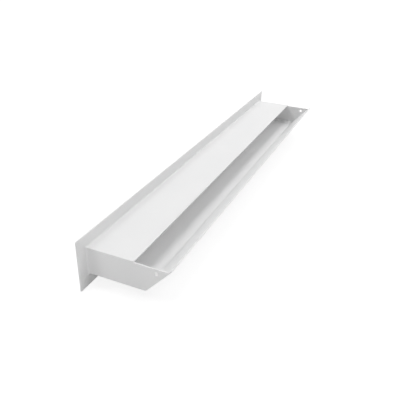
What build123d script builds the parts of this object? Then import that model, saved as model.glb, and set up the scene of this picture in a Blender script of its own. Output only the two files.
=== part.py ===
from build123d import *
from math import radians, tan
import os

# Ventilation grille: a slot vent for a chimney breast or a wall, made of four pieces of powder-coated
# sheet steel. The flat front frame is the folded lips of the four pieces, mitred at its corners and
# ground flush. Behind it a shallow tunnel runs back. Its floor is longer than its top plate and folds up
# into a sloping rear wall, so that air comes in through the gap at the top of the back and leaves
# through the slot in the front.
# Millimetres. X runs along the slot, the front faces -Y and +Z is up. The origin is in the plane of the
# frame's rear faces, which seat on the wall, at the middle of the slot.

# Front frame
FRAME_LENGTH = 800.0
FRAME_HEIGHT = 85.0
FRAME_BORDER = 20.0  # from the outside of the tunnel to the outer edge of the frame, on all four sides

# Sheet, and the bend that turns each lip out of the tunnel
SHEET = 2.0
LIP_BEND_RADIUS = 3.5  # inside radius, between a lip's rear face and the outside of the tunnel

# Tunnel, with depths measured from the wall plane
TOP_DEPTH = 78.0  # rear edge of the top plate
FOLD_DEPTH = 95.0  # corner that the floor and the rear wall would make underneath without their bend
FOLD_RADIUS = 7.0  # inside radius of the bend between floor and rear wall
WALL_ANGLE = 47.5  # slope of the rear wall, in degrees from the floor

# Welding tab at the foot of each end plate, bent inwards on to the floor
TAB_WIDTH = 10.0  # from the end plate's inner face
TAB_BEND_RADIUS = 1.5
TAB_CORNER_RADIUS = 3.0
TAB_FRONT_GAP = 8.0  # from the bend of the lip
TAB_REAR_GAP = 2.0  # from the bend of the floor

# Fixing hole near the upper rear corner of each end plate
HOLE_DIAMETER = 6.0
HOLE_DEPTH = 113.0  # from the wall plane
HOLE_DROP = 9.5  # from the top of the tunnel

# Rounding of the sheet's cut edges, and of the ground welds along the tunnel's outer corners
EDGE_ROUNDING = 0.4
WELD_ROUNDING = 0.8

NEAR = 0.01  # how near a point lies to a line or a plane that it is on

TUNNEL_LENGTH = FRAME_LENGTH - 2 * FRAME_BORDER
TUNNEL_HEIGHT = FRAME_HEIGHT - 2 * FRAME_BORDER
FRAME_END = FRAME_LENGTH / 2
FRAME_TOP = FRAME_HEIGHT / 2
PLATE_FACE = TUNNEL_LENGTH / 2  # outer face of the right end plate
TUNNEL_TOP = TUNNEL_HEIGHT / 2  # upper face of the top plate
PLATE_TOP = TUNNEL_TOP - SHEET  # upper edge of the end plates, on which the top plate lies
FLOOR_TOP = SHEET - TUNNEL_TOP  # upper face of the floor, on which the end plates stand


def other_face(path, material_on_left):
    """Points of a bent sheet's other face, SHEET away from the sharp-cornered path of the first."""
    runs = [(b - a).normalized() for a, b in zip(path, path[1:])]
    side = SHEET if material_on_left else -SHEET
    normals = [Vector(-run.Y, run.X) for run in runs]
    corners = [(n0 + n1) * (1 / (1 + n0.dot(n1))) for n0, n1 in zip(normals, normals[1:])]
    shifts = [normals[0], *corners, normals[-1]]
    return [point + shift * side for point, shift in zip(path, shifts)]


def bent_faces(path, material_on_left, inside_radii):
    """Both faces of a bent sheet as open lines, from one face's sharp path and the bends' inside radii."""
    runs = [b - a for a, b in zip(path, path[1:])]
    turns_left = [r0.X * r1.Y > r0.Y * r1.X for r0, r1 in zip(runs, runs[1:])]
    radii = [r + SHEET * (left == material_on_left) for r, left in zip(inside_radii, turns_left)]
    other_radii = [r + SHEET * (left != material_on_left) for r, left in zip(inside_radii, turns_left)]
    other = other_face(path, material_on_left)
    return FilletPolyline(*path, radius=radii), FilletPolyline(*other, radius=other_radii)


def sheet_section(faces):
    """Closed section of a sheet between its two faces."""
    one, other = faces
    return make_face(one + other + Line(one @ 0, other @ 0) + Line(one @ 1, other @ 1))


def mitred_front(*corners):
    """Block over the lips and their bends, from the front of the frame back, on corners (x, height)."""
    plane = Plane((0, LIP_BEND_RADIUS, 0), x_dir=(1, 0, 0), z_dir=(0, -1, 0))
    return extrude(plane * make_face(Polyline(*corners, close=True)), LIP_BEND_RADIUS + SHEET)


def tunnel_block(outside, *inside):
    """Block from the lips' bends back, with the welds at both ends of its outer face rounded.

    outside is the outer face as a (depth, height) line, and inside the corners that close the block.
    """
    outline = outside + Polyline(outside @ 1, *inside, outside @ 0)
    block = extrude(Plane.YZ * make_face(outline), PLATE_FACE, both=True)
    ends = [Plane.YZ.offset(x) * outside for x in (-PLATE_FACE, PLATE_FACE)]
    welds = [edge for edge in block.edges() if any(end.distance_to(edge @ 0.5) < NEAR for end in ends)]
    return fillet(welds, WELD_ROUNDING)


def long_sheet(section, upward, block):
    """Sheet as long as the frame, its lip mitred at both ends and the rest cut to the tunnel's block."""
    blank = extrude(Plane.YZ * section, FRAME_END, both=True)
    slot_x, slot_z = PLATE_FACE - SHEET, upward * PLATE_TOP
    edge_z = upward * FRAME_TOP
    front = mitred_front((slot_x, slot_z), (FRAME_END, edge_z), (-FRAME_END, edge_z), (-slot_x, slot_z))
    return blank & (front + block)


def round_cut_edges(solid, test):
    """The solid with its straight edges along X rounded, where their middle passes the test."""
    return fillet([edge for edge in solid.edges().filter_by(Axis.X) if test(edge @ 0.5)], EDGE_ROUNDING)


def make_top_plate():
    """Top of the tunnel, with its lip folded up."""
    path = [Vector(0, FRAME_TOP), Vector(0, TUNNEL_TOP), Vector(TOP_DEPTH, TUNNEL_TOP)]
    section = sheet_section(bent_faces(path, False, [LIP_BEND_RADIUS]))
    front, rear = LIP_BEND_RADIUS, TOP_DEPTH + SHEET
    outside = Line((front, TUNNEL_TOP), (rear, TUNNEL_TOP))
    block = tunnel_block(outside, (rear, FLOOR_TOP), (front, FLOOR_TOP))
    plate = long_sheet(section, 1, block)
    return round_cut_edges(plate, lambda p: p.Z > FRAME_TOP - NEAR or p.Y > TOP_DEPTH - NEAR)


def tray_path():
    """Underside of the tray as (depth, height): up the lip, back along the floor and up the rear wall."""
    wall_run = TUNNEL_HEIGHT / tan(radians(WALL_ANGLE))
    return [
        Vector(0, -FRAME_TOP),
        Vector(0, -TUNNEL_TOP),
        Vector(FOLD_DEPTH, -TUNNEL_TOP),
        Vector(FOLD_DEPTH + wall_run, TUNNEL_TOP),
    ]


def make_deflector_tray():
    """Floor of the tunnel, with its lip folded down and its rear wall folded up."""
    path = tray_path()
    section = sheet_section(bent_faces(path, True, [LIP_BEND_RADIUS, FOLD_RADIUS]))
    fold, rim = path[2:]
    past_rim = rim + (rim - fold).normalized() * SHEET
    outside = FilletPolyline((LIP_BEND_RADIUS, fold.Y), fold, past_rim, radius=FOLD_RADIUS + SHEET)
    block = tunnel_block(outside, (LIP_BEND_RADIUS, past_rim.Y))
    tray = long_sheet(section, -1, block)
    return round_cut_edges(tray, lambda p: p.Z < NEAR - FRAME_TOP or p.Z > rim.Y - NEAR)


def make_end_plate():
    """Right end plate, with its lip folded out, its welding tab folded in and its fixing hole.

    It stands on the floor, inside the rounded fold, and reaches up to the underside of the top plate.
    """
    inner_fold, inner_rim = other_face(tray_path(), True)[2:]
    path = [Vector(FRAME_END, 0), Vector(PLATE_FACE, 0), Vector(PLATE_FACE, inner_rim.X)]
    blank = extrude(sheet_section(bent_faces(path, True, [LIP_BEND_RADIUS])), FRAME_TOP, both=True)
    corners = [(PLATE_FACE - SHEET, PLATE_TOP), (FRAME_END, FRAME_TOP)]
    front = mitred_front(*corners, *[(x, -z) for x, z in reversed(corners)])
    wall = (inner_rim - inner_fold).normalized()
    rear_top = inner_fold + wall * ((PLATE_TOP - FLOOR_TOP) / wall.Y)
    front_top = Vector(LIP_BEND_RADIUS, PLATE_TOP)
    front_foot = (LIP_BEND_RADIUS, FLOOR_TOP)
    side = FilletPolyline(front_top, front_foot, inner_fold, rear_top, radius=[0, FOLD_RADIUS])
    behind = extrude(Plane.YZ * make_face(side + Line(rear_top, front_top)), FRAME_END)
    plate = blank & (front + behind)
    lip_edges = plate.edges().filter_by(Axis.Z).filter_by(lambda edge: edge.center().X > FRAME_END - NEAR)
    plate = add_tab(fillet(lip_edges, EDGE_ROUNDING), inner_fold)
    hole = Cylinder(HOLE_DIAMETER / 2, 4 * SHEET, rotation=(0, 90, 0))
    return plate - Pos(PLATE_FACE, HOLE_DEPTH, TUNNEL_TOP - HOLE_DROP) * hole


def add_tab(plate, inner_fold):
    """The end plate with its welding tab, which lies on the floor in front of the fold."""
    root, tip = PLATE_FACE - SHEET, PLATE_FACE - SHEET - TAB_WIDTH
    front = LIP_BEND_RADIUS + TAB_FRONT_GAP
    rear = inner_fold.X - FOLD_RADIUS * tan(radians(WALL_ANGLE / 2)) - TAB_REAR_GAP
    corners = [(root + SHEET / 2, front), (tip, front), (tip, rear), (root + SHEET / 2, rear)]
    outline = FilletPolyline(*corners, radius=TAB_CORNER_RADIUS)
    tab = extrude(Pos(0, 0, FLOOR_TOP) * make_face(outline + Line(outline @ 1, outline @ 0)), SHEET)
    plate = plate + tab
    corner = Vector(root, (front + rear) / 2, FLOOR_TOP + SHEET)
    bend = plate.edges().filter_by(Axis.Y).filter_by(lambda edge: (edge.center() - corner).length < NEAR)
    return fillet(bend, TAB_BEND_RADIUS)


def main():
    os.makedirs("parts", exist_ok=True)
    end_plate = make_end_plate()
    nodes = {
        "top_plate": make_top_plate(),
        "deflector_tray": make_deflector_tray(),
        "end_plate_right": end_plate,
        "end_plate_left": mirror(end_plate, about=Plane.YZ),
    }
    for name, solid in nodes.items():
        export_step(solid, f"parts/{name}.step")


main()
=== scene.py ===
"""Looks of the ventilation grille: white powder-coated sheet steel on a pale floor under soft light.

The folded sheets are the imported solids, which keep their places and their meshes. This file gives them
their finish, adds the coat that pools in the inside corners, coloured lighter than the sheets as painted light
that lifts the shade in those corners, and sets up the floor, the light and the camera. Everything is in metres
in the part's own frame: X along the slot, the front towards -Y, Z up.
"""

import logging
from dataclasses import dataclass, field
from enum import Enum

import bpy
import numpy as np
from mathutils import Matrix, Vector


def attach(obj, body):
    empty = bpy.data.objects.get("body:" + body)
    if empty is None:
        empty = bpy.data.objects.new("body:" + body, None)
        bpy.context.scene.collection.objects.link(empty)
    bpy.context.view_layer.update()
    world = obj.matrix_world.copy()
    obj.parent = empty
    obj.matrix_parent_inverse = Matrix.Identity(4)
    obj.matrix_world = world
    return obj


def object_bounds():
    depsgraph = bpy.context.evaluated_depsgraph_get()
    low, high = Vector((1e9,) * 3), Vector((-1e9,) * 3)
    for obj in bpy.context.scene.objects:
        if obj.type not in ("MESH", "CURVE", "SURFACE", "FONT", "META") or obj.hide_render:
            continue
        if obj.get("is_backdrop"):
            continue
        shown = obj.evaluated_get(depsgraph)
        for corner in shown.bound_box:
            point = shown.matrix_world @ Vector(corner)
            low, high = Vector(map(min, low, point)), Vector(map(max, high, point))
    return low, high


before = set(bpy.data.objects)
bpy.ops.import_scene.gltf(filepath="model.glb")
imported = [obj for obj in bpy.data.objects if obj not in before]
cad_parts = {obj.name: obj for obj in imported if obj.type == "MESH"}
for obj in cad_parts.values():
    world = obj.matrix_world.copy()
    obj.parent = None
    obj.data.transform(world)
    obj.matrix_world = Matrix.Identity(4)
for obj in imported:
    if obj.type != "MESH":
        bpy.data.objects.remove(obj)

LOG = logging.getLogger("grille")


class Side(Enum):
    """End of the grille, as seen from the front."""

    LEFT = -1
    RIGHT = 1


class Corner(Enum):
    """Inside corner in which the coat pools."""

    SLOPE = "slope"
    TAB = "tab"
    CEILING = "ceiling"


# ---- Node trees ----


class Graph:
    """A node tree that is being filled in, with short calls for the nodes that this file uses."""

    def __init__(self, tree: bpy.types.NodeTree) -> None:
        """Starts with an empty tree.

        Args:
            tree: the node tree of a material, a world or a group.
        """
        tree.nodes.clear()
        self.tree = tree

    def node(self, kind: str, **settings: object) -> bpy.types.Node:
        """Adds a node.

        Args:
            kind: Blender's name of the node type.
            settings: the node's own settings, by name.

        Returns:
            The new node.
        """
        made = self.tree.nodes.new(kind)
        for name, value in settings.items():
            setattr(made, name, value)
        return made

    def feed(self, target: bpy.types.NodeSocket, source: object) -> None:
        """Links a socket to the target, or sets the target's own value.

        Args:
            target: the input socket.
            source: an output socket, or a plain value.
        """
        if isinstance(source, bpy.types.NodeSocket):
            self.tree.links.new(source, target)
        else:
            target.default_value = source

    def math(self, operation: str, *terms: object) -> bpy.types.NodeSocket:
        """Adds a Math node.

        Args:
            operation: Blender's name of the operation.
            terms: the operation's inputs, as sockets or numbers.

        Returns:
            The result's socket.
        """
        made = self.node("ShaderNodeMath", operation=operation)
        for target, term in zip(made.inputs, terms):
            self.feed(target, term)
        return made.outputs[0]

    def ramp(self, value: object, low: float, high: float, to_low: float, to_high: float) -> bpy.types.NodeSocket:
        """Carries a value smoothly from one range to another and holds it at the ends.

        Args:
            value: the socket to carry over.
            low: the value that gives to_low.
            high: the value that gives to_high.
            to_low: result at the low end.
            to_high: result at the high end.

        Returns:
            The result's socket.
        """
        made = self.node("ShaderNodeMapRange", interpolation_type="SMOOTHSTEP")
        for target, term in zip(made.inputs, (value, low, high, to_low, to_high)):
            self.feed(target, term)
        return made.outputs[0]

    def noise(self, vector: object, size: float, detail: float = 2.0) -> bpy.types.NodeSocket:
        """Adds a noise pattern.

        Args:
            vector: coordinates in metres.
            size: length of one patch of the pattern, in metres, as a number or a socket.
            detail: how many finer layers it has.

        Returns:
            The pattern's value socket, from 0 to 1.
        """
        made = self.node("ShaderNodeTexNoise")
        self.feed(made.inputs["Vector"], vector)
        self.feed(made.inputs["Scale"], self.math("DIVIDE", 1.0, size))
        made.inputs["Detail"].default_value = detail
        return made.outputs[0]

    def place(self) -> bpy.types.NodeSocket:
        """Returns the object's own coordinates, in metres."""
        return self.node("ShaderNodeTexCoord").outputs["Object"]

    def mix(self, factor: object, one: object, other: object) -> bpy.types.NodeSocket:
        """Mixes two colours.

        Args:
            factor: share of the other colour.
            one: a colour, as a socket or four numbers.
            other: the colour at factor 1.

        Returns:
            The mixed colour's socket.
        """
        made = self.node("ShaderNodeMix", data_type="RGBA")
        self.feed(made.inputs["Factor"], factor)
        colours = [s for s in made.inputs if s.type == "RGBA"]
        self.feed(colours[0], one)
        self.feed(colours[1], other)
        return next(s for s in made.outputs if s.type == "RGBA")

    def group(self, tree: bpy.types.NodeTree, **values: object) -> bpy.types.Node:
        """Places a node group.

        Args:
            tree: the group's tree.
            values: the group's inputs, by name.

        Returns:
            The group's node.
        """
        made = self.node("ShaderNodeGroup", node_tree=tree)
        for name, value in values.items():
            self.feed(made.inputs[name], value)
        return made


class Effects:
    """The shader node groups that the finishes share."""

    def __init__(self) -> None:
        """Builds each group once."""
        self.peel = self.orange_peel()
        self.tone = self.coat_tone()
        self.weld = self.ground_weld()
        self.edge = self.cut_edge()

    @staticmethod
    def start(name: str, inputs: tuple[str, ...], outputs: tuple[str, ...]) -> tuple[Graph, bpy.types.Node, bpy.types.Node]:
        """Starts a node group with float inputs and outputs.

        Args:
            name: the group's name.
            inputs: names of its inputs.
            outputs: names of its outputs.

        Returns:
            The group's graph, its input node and its output node.
        """
        tree = bpy.data.node_groups.new(name, "ShaderNodeTree")
        for title in inputs:
            tree.interface.new_socket(name=title, in_out="INPUT", socket_type="NodeSocketFloat")
        for title in outputs:
            tree.interface.new_socket(name=title, in_out="OUTPUT", socket_type="NodeSocketFloat")
        graph = Graph(tree)
        return graph, graph.node("NodeGroupInput"), graph.node("NodeGroupOutput")

    def orange_peel(self) -> bpy.types.NodeTree:
        """Builds the shallow dimples of a cured powder coat.

        Returns:
            A group that gives Height and Gloss, both from 0 to 1, for dimples of a given Size in metres.
        """
        graph, given, result = self.start("orange_peel", ("Size",), ("Height", "Gloss"))
        size = given.outputs["Size"]
        place = graph.place()
        dimples = graph.noise(place, size, 1.0)
        waves = graph.noise(place, graph.math("MULTIPLY", size, 4.0), 1.0)
        height = graph.math("ADD", graph.math("MULTIPLY", dimples, 0.6), graph.math("MULTIPLY", waves, 0.4))
        graph.feed(result.inputs["Height"], height)
        patches = graph.noise(place, graph.math("MULTIPLY", size, 15.0), 3.0)
        graph.feed(result.inputs["Gloss"], graph.ramp(patches, 0.3, 0.7, 0.0, 1.0))
        return graph.tree

    def coat_tone(self) -> bpy.types.NodeTree:
        """Builds the slow change of the coat's thickness, which lets a trace of the steel's grey through.

        Returns:
            A group that gives Tone, from 0 to 1, for clouds of a given Size in metres.
        """
        graph, given, result = self.start("coat_tone", ("Size",), ("Tone",))
        size = given.outputs["Size"]
        place = graph.place()
        clouds = graph.noise(place, size, 2.0)
        grains = graph.noise(place, graph.math("MULTIPLY", size, 0.03), 2.0)
        mixed = graph.math("ADD", graph.math("MULTIPLY", clouds, 0.75), graph.math("MULTIPLY", grains, 0.25))
        graph.feed(result.inputs["Tone"], graph.ramp(mixed, 0.35, 0.65, 0.0, 1.0))
        return graph.tree

    def ground_weld(self) -> bpy.types.NodeTree:
        """Builds the mark of the welds that were ground flush along the frame's four mitres.

        A mitre is where |x| - |z| equals Offset, and only in front of the depth Behind.

        Returns:
            A group that gives Mask, 1 on the mitre and 0 past Width, and Height, which adds the file's strokes.
        """
        graph, given, result = self.start("ground_weld", ("Offset", "Width", "Behind"), ("Mask", "Height"))
        place = graph.place()
        split = graph.node("ShaderNodeSeparateXYZ")
        graph.feed(split.inputs[0], place)
        across = graph.math("SUBTRACT", graph.math("ABSOLUTE", split.outputs["X"]), graph.math("ABSOLUTE", split.outputs["Z"]))
        away = graph.math("ABSOLUTE", graph.math("SUBTRACT", across, given.outputs["Offset"]))
        near = graph.ramp(away, 0.0, given.outputs["Width"], 1.0, 0.0)
        front = graph.math("LESS_THAN", split.outputs["Y"], given.outputs["Behind"])
        mask = graph.math("MULTIPLY", near, front)
        graph.feed(result.inputs["Mask"], mask)
        strokes = graph.node("ShaderNodeMapping")
        graph.feed(strokes.inputs["Vector"], place)
        strokes.inputs["Rotation"].default_value = (0.0, 0.6, 0.0)
        strokes.inputs["Scale"].default_value = (1.0, 1.0, 12.0)
        lines = graph.noise(strokes.outputs["Vector"], 0.006, 2.0)
        graph.feed(result.inputs["Height"], graph.math("MULTIPLY", mask, lines))
        return graph.tree

    def cut_edge(self) -> bpy.types.NodeTree:
        """Builds the thin coat on the cut edges round the frame.

        Returns:
            A group that gives Mask, 1 on the frame's outer edges at half length End and half height Top.
        """
        graph, given, result = self.start("cut_edge", ("End", "Top", "Reach"), ("Mask",))
        split = graph.node("ShaderNodeSeparateXYZ")
        graph.feed(split.inputs[0], graph.place())
        masks = []
        for axis, name in (("X", "End"), ("Z", "Top")):
            past = graph.math("SUBTRACT", graph.math("ABSOLUTE", split.outputs[axis]), given.outputs[name])
            reach = graph.math("MULTIPLY", given.outputs["Reach"], -1.0)
            masks.append(graph.ramp(past, reach, 0.0, 0.0, 1.0))
        graph.feed(result.inputs["Mask"], graph.math("MAXIMUM", *masks))
        return graph.tree


@dataclass(frozen=True)
class PowderCoat:
    """White polyester powder coat, satin."""

    name: str = "powder_coat_white"
    colour: tuple[float, float, float, float] = (0.845, 0.845, 0.845, 1.0)
    thin: tuple[float, float, float, float] = (0.815, 0.817, 0.82, 1.0)
    edge: tuple[float, float, float, float] = (0.86, 0.86, 0.86, 1.0)
    roughness: tuple[float, float] = (0.40, 0.52)
    dimple: float = 0.0016
    dimple_depth: float = 0.00003
    cloud: float = 0.09
    weld_depth: float = 0.00012

    def material(self, effects: Effects, lips: "Lips") -> bpy.types.Material:
        """Builds the material from the shared effects.

        Args:
            effects: the node groups.
            lips: the frame's sizes, which say where its mitres and cut edges are.

        Returns:
            The finished material.
        """
        made = bpy.data.materials.new(self.name)
        made.use_nodes = True
        graph = Graph(made.node_tree)
        peel = graph.group(effects.peel, Size=self.dimple)
        tone = graph.group(effects.tone, Size=self.cloud)
        weld = graph.group(effects.weld, Offset=lips.mitre_offset(), Width=lips.weld_width, Behind=lips.depth)
        edge = graph.group(effects.edge, End=lips.half_length, Top=lips.half_height, Reach=lips.edge_reach)

        shader = graph.node("ShaderNodeBsdfPrincipled")
        body = graph.mix(graph.math("MULTIPLY", tone.outputs["Tone"], 0.5), self.colour, self.thin)
        filed = graph.mix(graph.math("MULTIPLY", weld.outputs["Mask"], 0.35), body, self.thin)
        graph.feed(shader.inputs["Base Color"], graph.mix(edge.outputs["Mask"], filed, self.edge))
        rough = graph.ramp(peel.outputs["Gloss"], 0.0, 1.0, *self.roughness)
        graph.feed(shader.inputs["Roughness"], graph.math("ADD", rough, graph.math("MULTIPLY", weld.outputs["Mask"], 0.06)))

        dimples = graph.node("ShaderNodeBump")
        dimples.inputs["Strength"].default_value = 1.0
        dimples.inputs["Distance"].default_value = self.dimple_depth
        graph.feed(dimples.inputs["Height"], peel.outputs["Height"])
        strokes = graph.node("ShaderNodeBump")
        strokes.inputs["Strength"].default_value = 1.0
        strokes.inputs["Distance"].default_value = self.weld_depth
        graph.feed(strokes.inputs["Height"], weld.outputs["Height"])
        graph.feed(strokes.inputs["Normal"], dimples.outputs["Normal"])
        graph.feed(shader.inputs["Normal"], strokes.outputs["Normal"])

        output = graph.node("ShaderNodeOutputMaterial")
        graph.feed(output.inputs["Surface"], shader.outputs[0])
        return made


@dataclass(frozen=True)
class PooledCoat:
    """The same coat where it runs together in an inside corner: smoother and without dimples. Its colour is lighter
    than the sheets' coat. This is painted light that brightens the shaded inside corners and paints a highlight line
    along the tab's foot.
    """

    name: str = "powder_coat_pooled_painted_light"
    # colour and thin are lighter than the sheets' coat: painted light for the shaded inside corners and a painted
    # highlight along the tab's foot
    colour: tuple[float, float, float, float] = (0.87, 0.87, 0.87, 1.0)
    thin: tuple[float, float, float, float] = (0.84, 0.842, 0.845, 1.0)
    roughness: tuple[float, float] = (0.34, 0.46)
    dimple: float = 0.004
    dimple_depth: float = 0.00003
    cloud: float = 0.03

    def material(self, effects: Effects) -> bpy.types.Material:
        """Builds the material from the shared effects.

        Args:
            effects: the node groups.

        Returns:
            The finished material.
        """
        made = bpy.data.materials.new(self.name)
        made.use_nodes = True
        graph = Graph(made.node_tree)
        peel = graph.group(effects.peel, Size=self.dimple)
        tone = graph.group(effects.tone, Size=self.cloud)
        shader = graph.node("ShaderNodeBsdfPrincipled")
        # the lighter base colour paints light into the shaded inside corners
        graph.feed(shader.inputs["Base Color"], graph.mix(tone.outputs["Tone"], self.colour, self.thin))
        graph.feed(shader.inputs["Roughness"], graph.ramp(peel.outputs["Gloss"], 0.0, 1.0, *self.roughness))
        bump = graph.node("ShaderNodeBump")
        bump.inputs["Distance"].default_value = self.dimple_depth
        graph.feed(bump.inputs["Height"], peel.outputs["Height"])
        graph.feed(shader.inputs["Normal"], bump.outputs["Normal"])
        output = graph.node("ShaderNodeOutputMaterial")
        graph.feed(output.inputs["Surface"], shader.outputs[0])
        return made


# ---- The grille ----


@dataclass
class Lips:
    """The frame: four folded lips in one plane, mitred at its corners. Sizes in metres."""

    half_length: float = 0.400
    half_height: float = 0.0425
    depth: float = 0.0035
    weld_width: float = 0.0035
    edge_reach: float = 0.0009

    def mitre_offset(self) -> float:
        """Returns |x| - |z| on the mitres, the same at all four corners."""
        return self.half_length - self.half_height


@dataclass
class Tunnel:
    """The tunnel behind the frame, by the inside of its sheets. Sizes in metres."""

    plate_face: float = 0.378
    ceiling: float = 0.0205
    front: float = 0.0035
    ceiling_end: float = 0.078
    fold_depth: float = 0.09412
    fold_radius: float = 0.007
    wall_angle: float = np.radians(47.5)
    tab_width: float = 0.010
    tab_front: float = 0.0115
    tab_rear: float = 0.08904
    tab_corner: float = 0.003

    def slope(self, count: int = 24) -> tuple[np.ndarray, np.ndarray]:
        """Works out the inner line of the folded sheet, from the floor round the fold to the end plate's top.

        The fold is an arc of fold_radius about a centre above the floor. Its point at angle a is the centre
        plus the radius times (sin a, -cos a), and its normal points to the centre.

        Args:
            count: how many points the arc gets.

        Returns:
            Points as (depth, height), and unit normals into the tunnel.
        """
        start = self.fold_depth - self.fold_radius * np.tan(self.wall_angle / 2)
        turn = np.linspace(0.0, self.wall_angle, count)
        outward = np.stack([np.sin(turn), -np.cos(turn)], axis=1)
        centre = np.array([start, self.fold_radius - self.ceiling])
        arc = centre + self.fold_radius * outward
        rise = (self.ceiling - arc[-1, 1]) / np.sin(self.wall_angle)
        top = arc[-1] + rise * np.array([np.cos(self.wall_angle), np.sin(self.wall_angle)])
        first = np.array([self.tab_rear, -self.ceiling])
        points = np.vstack([first, arc, top])
        normals = np.vstack([[0.0, 1.0], -outward, -outward[-1]])
        return points, normals

    def tab(self, count: int = 10) -> tuple[np.ndarray, np.ndarray]:
        """Works out the outline of the welding tab, seen from above, with two rounded corners.

        Each corner is a quarter of a circle of tab_corner: the centre plus the radius times (cos a, sin a).

        Args:
            count: how many points each corner gets.

        Returns:
            Points as (distance from the end plate, depth), and unit normals away from the tab.
        """
        quarter = np.linspace(0.0, np.pi / 2, count)
        before = np.stack([np.sin(quarter), -np.cos(quarter)], axis=1)
        after = np.stack([np.cos(quarter), np.sin(quarter)], axis=1)
        inset = self.tab_width - self.tab_corner
        first = np.array([inset, self.tab_front + self.tab_corner]) + self.tab_corner * before
        last = np.array([inset, self.tab_rear - self.tab_corner]) + self.tab_corner * after
        points = np.vstack([[0.0, self.tab_front], first, last, [0.0, self.tab_rear]])
        normals = np.vstack([[0.0, -1.0], before, after, [0.0, 1.0]])
        return points, normals


@dataclass
class PooledCorners:
    """Coat that pooled in the inside corners of one end, as slim concave strips, in a lighter colour that paints
    light into those shaded corners.
    """

    side: Side
    tunnel: Tunnel
    leg: float = 0.0007
    tab_leg: float = 0.0016
    sunk: float = 0.0001
    steps: int = 8
    pieces: list[bpy.types.Object] = field(default_factory=list)

    def strip(self, path: np.ndarray, along: np.ndarray, up: np.ndarray, leg: float) -> tuple[np.ndarray, np.ndarray]:
        """Carries a concave quarter-circle section along a path.

        At angle t the section's point is the corner plus leg times ((1 - sin t) along + (1 - cos t) up).
        Three more points, a little inside the metal, close the section behind its face.

        Args:
            path: the corner's points, one row each.
            along: unit direction over the first surface, away from the corner, at each point.
            up: unit direction over the second surface, away from the corner, at each point.
            leg: how far the coat reaches over each surface.

        Returns:
            The vertices and the faces of a closed strip.
        """
        t = np.linspace(0.0, np.pi / 2, self.steps)
        sunk = self.sunk / leg
        out = np.concatenate([1 - np.sin(t), [-sunk, -sunk, 1.0]])
        rise = np.concatenate([1 - np.cos(t), [1.0, -sunk, -sunk]])
        rings = path[:, None] + leg * (out[None, :, None] * along[:, None] + rise[None, :, None] * up[:, None])
        rows, width = rings.shape[:2]
        index = np.arange(rows * width).reshape(rows, width)
        one, two = index[:-1], index[1:]
        quads = np.stack([one, np.roll(one, -1, axis=1), np.roll(two, -1, axis=1), two], axis=-1).reshape(-1, 4)
        return rings.reshape(-1, 3), quads

    def corner(self, kind: Corner) -> tuple[np.ndarray, np.ndarray]:
        """Works out the strip of one inside corner.

        Args:
            kind: which corner.

        Returns:
            The vertices and the faces of a closed strip.
        """
        sign, tunnel = self.side.value, self.tunnel
        if kind is Corner.TAB:
            flat, normals = tunnel.tab()
            face = np.full(len(flat), tunnel.plate_face)
            path = np.stack([sign * (face - flat[:, 0]), flat[:, 1], np.full(len(flat), -tunnel.ceiling)], axis=1)
            along = np.stack([-sign * normals[:, 0], normals[:, 1], np.zeros(len(flat))], axis=1)
            up = np.tile([0.0, 0.0, 1.0], (len(flat), 1))
            return self.strip(path, along, up, self.tab_leg)
        if kind is Corner.SLOPE:
            flat, normals = tunnel.slope()
        else:
            flat = np.array([[tunnel.front, tunnel.ceiling], [tunnel.ceiling_end, tunnel.ceiling]])
            normals = np.array([[0.0, -1.0], [0.0, -1.0]])
        path = np.insert(flat, 0, sign * tunnel.plate_face, axis=1)
        up = np.insert(normals, 0, 0.0, axis=1)
        along = np.tile([-float(sign), 0.0, 0.0], (len(flat), 1))
        return self.strip(path, along, up, self.leg)

    def build(self, material: bpy.types.Material) -> None:
        """Makes one piece for each inside corner and dresses it.

        Args:
            material: the pooled coat, whose lighter colour is painted light in the corners.
        """
        for kind in Corner:
            name = f"coat_{kind.value}_{self.side.name.lower()}"
            points, quads = self.corner(kind)
            piece = closed_piece(name, points, quads, self.steps + 3)
            piece.data.materials.append(material)
            self.pieces.append(piece)


def closed_piece(name: str, points: np.ndarray, quads: np.ndarray, width: int) -> bpy.types.Object:
    """Makes a closed piece from rings of equal width, with a cap at each end and its faces outwards.

    Args:
        name: the piece's name.
        points: its vertices, ring by ring.
        quads: its side faces.
        width: how many vertices a ring has.

    Returns:
        The piece, which rides on the grille.
    """
    caps = [list(range(width))[::-1], list(range(len(points) - width, len(points)))]
    faces = [*quads.tolist(), *caps]
    if volume(points, faces) < 0:
        faces = [face[::-1] for face in faces]
    mesh = bpy.data.meshes.new(name)
    mesh.from_pydata(points.tolist(), [], faces)
    mesh.validate()
    piece = bpy.data.objects.new(name, mesh)
    bpy.context.scene.collection.objects.link(piece)
    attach(piece, "root")
    LOG.info("%s: %d vertices, %d faces", name, len(points), len(faces))
    return piece


def volume(points: np.ndarray, faces: list[list[int]]) -> float:
    """Adds up the signed volumes of the tetrahedra between the origin and each face's fan of triangles.

    Args:
        points: vertices.
        faces: lists of vertex numbers.

    Returns:
        The volume, which is negative where the faces point inwards.
    """
    fans = [(face[0], a, b) for face in faces for a, b in zip(face[1:], face[2:])]
    a, b, c = (points[list(corner)] for corner in zip(*fans))
    return float(np.einsum("ij,ij->i", a, np.cross(b, c)).sum() / 6)


@dataclass
class Grille:
    """The whole grille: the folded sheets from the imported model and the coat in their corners."""

    coat: PowderCoat = field(default_factory=PowderCoat)
    pooled: PooledCoat = field(default_factory=PooledCoat)
    lips: Lips = field(default_factory=Lips)
    tunnel: Tunnel = field(default_factory=Tunnel)

    def build(self) -> None:
        """Dresses the sheets and adds the pooled coat at both ends."""
        effects = Effects()
        sheet_finish = self.coat.material(effects, self.lips)
        for name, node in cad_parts.items():
            node.data.materials.clear()
            node.data.materials.append(sheet_finish)
            LOG.info("%s: dressed in %s", name, sheet_finish.name)
        # the pooled coat's lighter colour is painted light in the shaded inside corners
        pooled_painted_light_finish = self.pooled.material(effects)
        for side in Side:
            PooledCorners(side, self.tunnel).build(pooled_painted_light_finish)


# ---- Studio ----


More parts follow.
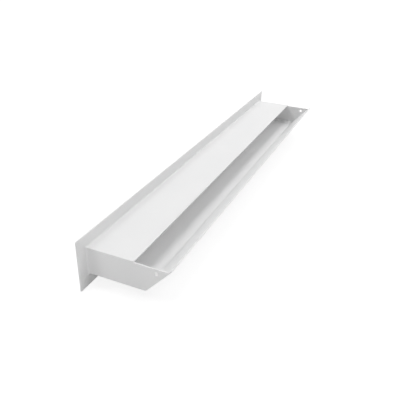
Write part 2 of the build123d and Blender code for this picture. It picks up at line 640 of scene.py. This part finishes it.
@dataclass(frozen=True)
class SoftLamp:
    """A round area lamp that faces the middle of the grille."""

    name: str
    place: tuple[float, float, float]
    size: float
    power: float

    def hang(self) -> None:
        """Makes the lamp and turns it to the grille."""
        data = bpy.data.lights.new(self.name, "AREA")
        data.shape = "DISK"
        data.size = self.size
        data.energy = self.power
        lamp = bpy.data.objects.new(self.name, data)
        lamp.location = self.place
        lamp.rotation_euler = (-Vector(self.place)).to_track_quat("-Z", "Y").to_euler()
        bpy.context.scene.collection.objects.link(lamp)


@dataclass
class Studio:
    """Pale floor, even white surround, large soft lamps, and the camera of the photograph."""

    lowest: float
    floor_size: float = 60.0
    floor_gap: float = 0.0002
    floor_colour: float = 0.92
    surround: float = 0.2
    lamps: tuple[SoftLamp, ...] = (
        SoftLamp("lamp_above", (0.0, 0.0, 6.0), 2.4, 81.6),
        SoftLamp("lamp_left", (-3.86, 0.0, 4.6), 2.4, 72.0),
        SoftLamp("lamp_left_rear", (-2.72, 2.72, 4.6), 2.4, 71.2),
        SoftLamp("lamp_left_front", (-3.98, -3.98, 2.06), 2.4, 38.8),
        SoftLamp("lamp_right_front", (2.72, -2.72, 4.6), 2.4, 88.0),
        SoftLamp("lamp_right_low", (4.22, 4.22, 0.62), 1.0, 48.8),
        SoftLamp("lamp_rear_low", (0.0, 5.96, 0.62), 1.0, 14.4),
    )
    eye: tuple[float, float, float] = (0.8528, 0.3847, 0.4255)
    right: tuple[float, float, float] = (-0.41536, 0.90946, 0.01908)
    above: tuple[float, float, float] = (-0.43075, -0.21512, 0.87646)
    ahead: tuple[float, float, float] = (-0.80120, -0.35583, -0.48110)
    focal: float = 502.7
    picture: float = 400.0
    sensor: float = 36.0

    def build(self) -> None:
        """Makes the floor, the surround, the lamps and the camera."""
        self.floor()
        self.world()
        for lamp in self.lamps:
            lamp.hang()
        self.camera()

    def floor(self) -> None:
        """Makes the floor, a flat square under the grille.

        The camera sees it almost white with the grille's soft shadow on it, and other rays see pale paint.
        """
        half, height = self.floor_size / 2, self.lowest - self.floor_gap
        corners = [(-half, -half, height), (half, -half, height), (half, half, height), (-half, half, height)]
        mesh = bpy.data.meshes.new("floor")
        mesh.from_pydata(corners, [], [(0, 1, 2, 3)])
        floor = bpy.data.objects.new("floor", mesh)
        bpy.context.scene.collection.objects.link(floor)
        made = bpy.data.materials.new("floor_white")
        made.use_nodes = True
        graph = Graph(made.node_tree)
        paint = graph.node("ShaderNodeBsdfDiffuse")
        paint.inputs["Color"].default_value = (self.floor_colour,) * 3 + (1.0,)
        seen_paint = graph.node("ShaderNodeBsdfDiffuse")
        seen_paint.inputs["Color"].default_value = (0.30, 0.30, 0.30, 1.0)
        glow = graph.node("ShaderNodeEmission")
        glow.inputs["Strength"].default_value = 0.82
        seen = graph.node("ShaderNodeAddShader")
        graph.feed(seen.inputs[0], seen_paint.outputs[0])
        graph.feed(seen.inputs[1], glow.outputs[0])
        rays = graph.node("ShaderNodeLightPath")
        choice = graph.node("ShaderNodeMixShader")
        graph.feed(choice.inputs[0], rays.outputs["Is Camera Ray"])
        graph.feed(choice.inputs[1], paint.outputs[0])
        graph.feed(choice.inputs[2], seen.outputs[0])
        output = graph.node("ShaderNodeOutputMaterial")
        graph.feed(output.inputs["Surface"], choice.outputs[0])
        mesh.materials.append(made)
        floor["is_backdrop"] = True

    def world(self) -> None:
        """Makes the surround: white where the camera sees it, and softer where it lights the grille."""
        scene = bpy.context.scene
        scene.world = bpy.data.worlds.new("surround")
        scene.world.use_nodes = True
        graph = Graph(scene.world.node_tree)
        rays = graph.node("ShaderNodeLightPath")
        seen = graph.math("MAXIMUM", rays.outputs["Is Camera Ray"], rays.outputs["Is Glossy Ray"])
        seen = graph.math("MAXIMUM", seen, rays.outputs["Is Transmission Ray"])
        strength = graph.math("ADD", self.surround, graph.math("MULTIPLY", seen, 1.0 - self.surround))
        sky = graph.node("ShaderNodeBackground")
        sky.inputs["Color"].default_value = (1.0, 1.0, 1.0, 1.0)
        graph.feed(sky.inputs["Strength"], strength)
        output = graph.node("ShaderNodeOutputWorld")
        graph.feed(output.inputs["Surface"], sky.outputs[0])

    def camera(self) -> None:
        """Stands the camera where the photograph was taken from."""
        data = bpy.data.cameras.new("camera")
        data.sensor_width = self.sensor
        data.lens = self.focal / self.picture * self.sensor
        data.clip_start = 0.01
        camera = bpy.data.objects.new("camera", data)
        axes = Matrix([self.right, self.above, -Vector(self.ahead)]).transposed()
        camera.matrix_world = Matrix.Translation(self.eye) @ axes.to_quaternion().to_matrix().to_4x4()
        bpy.context.scene.collection.objects.link(camera)
        bpy.context.scene.camera = camera


def main() -> None:
    """Builds the grille and the studio."""
    logging.basicConfig(level=logging.INFO, format="%(name)s: %(message)s")
    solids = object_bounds()
    Grille().build()
    Studio(lowest=solids[0].z).build()
    bpy.context.scene.view_settings.view_transform = "Standard"


if __name__ == "__main__":
    main()
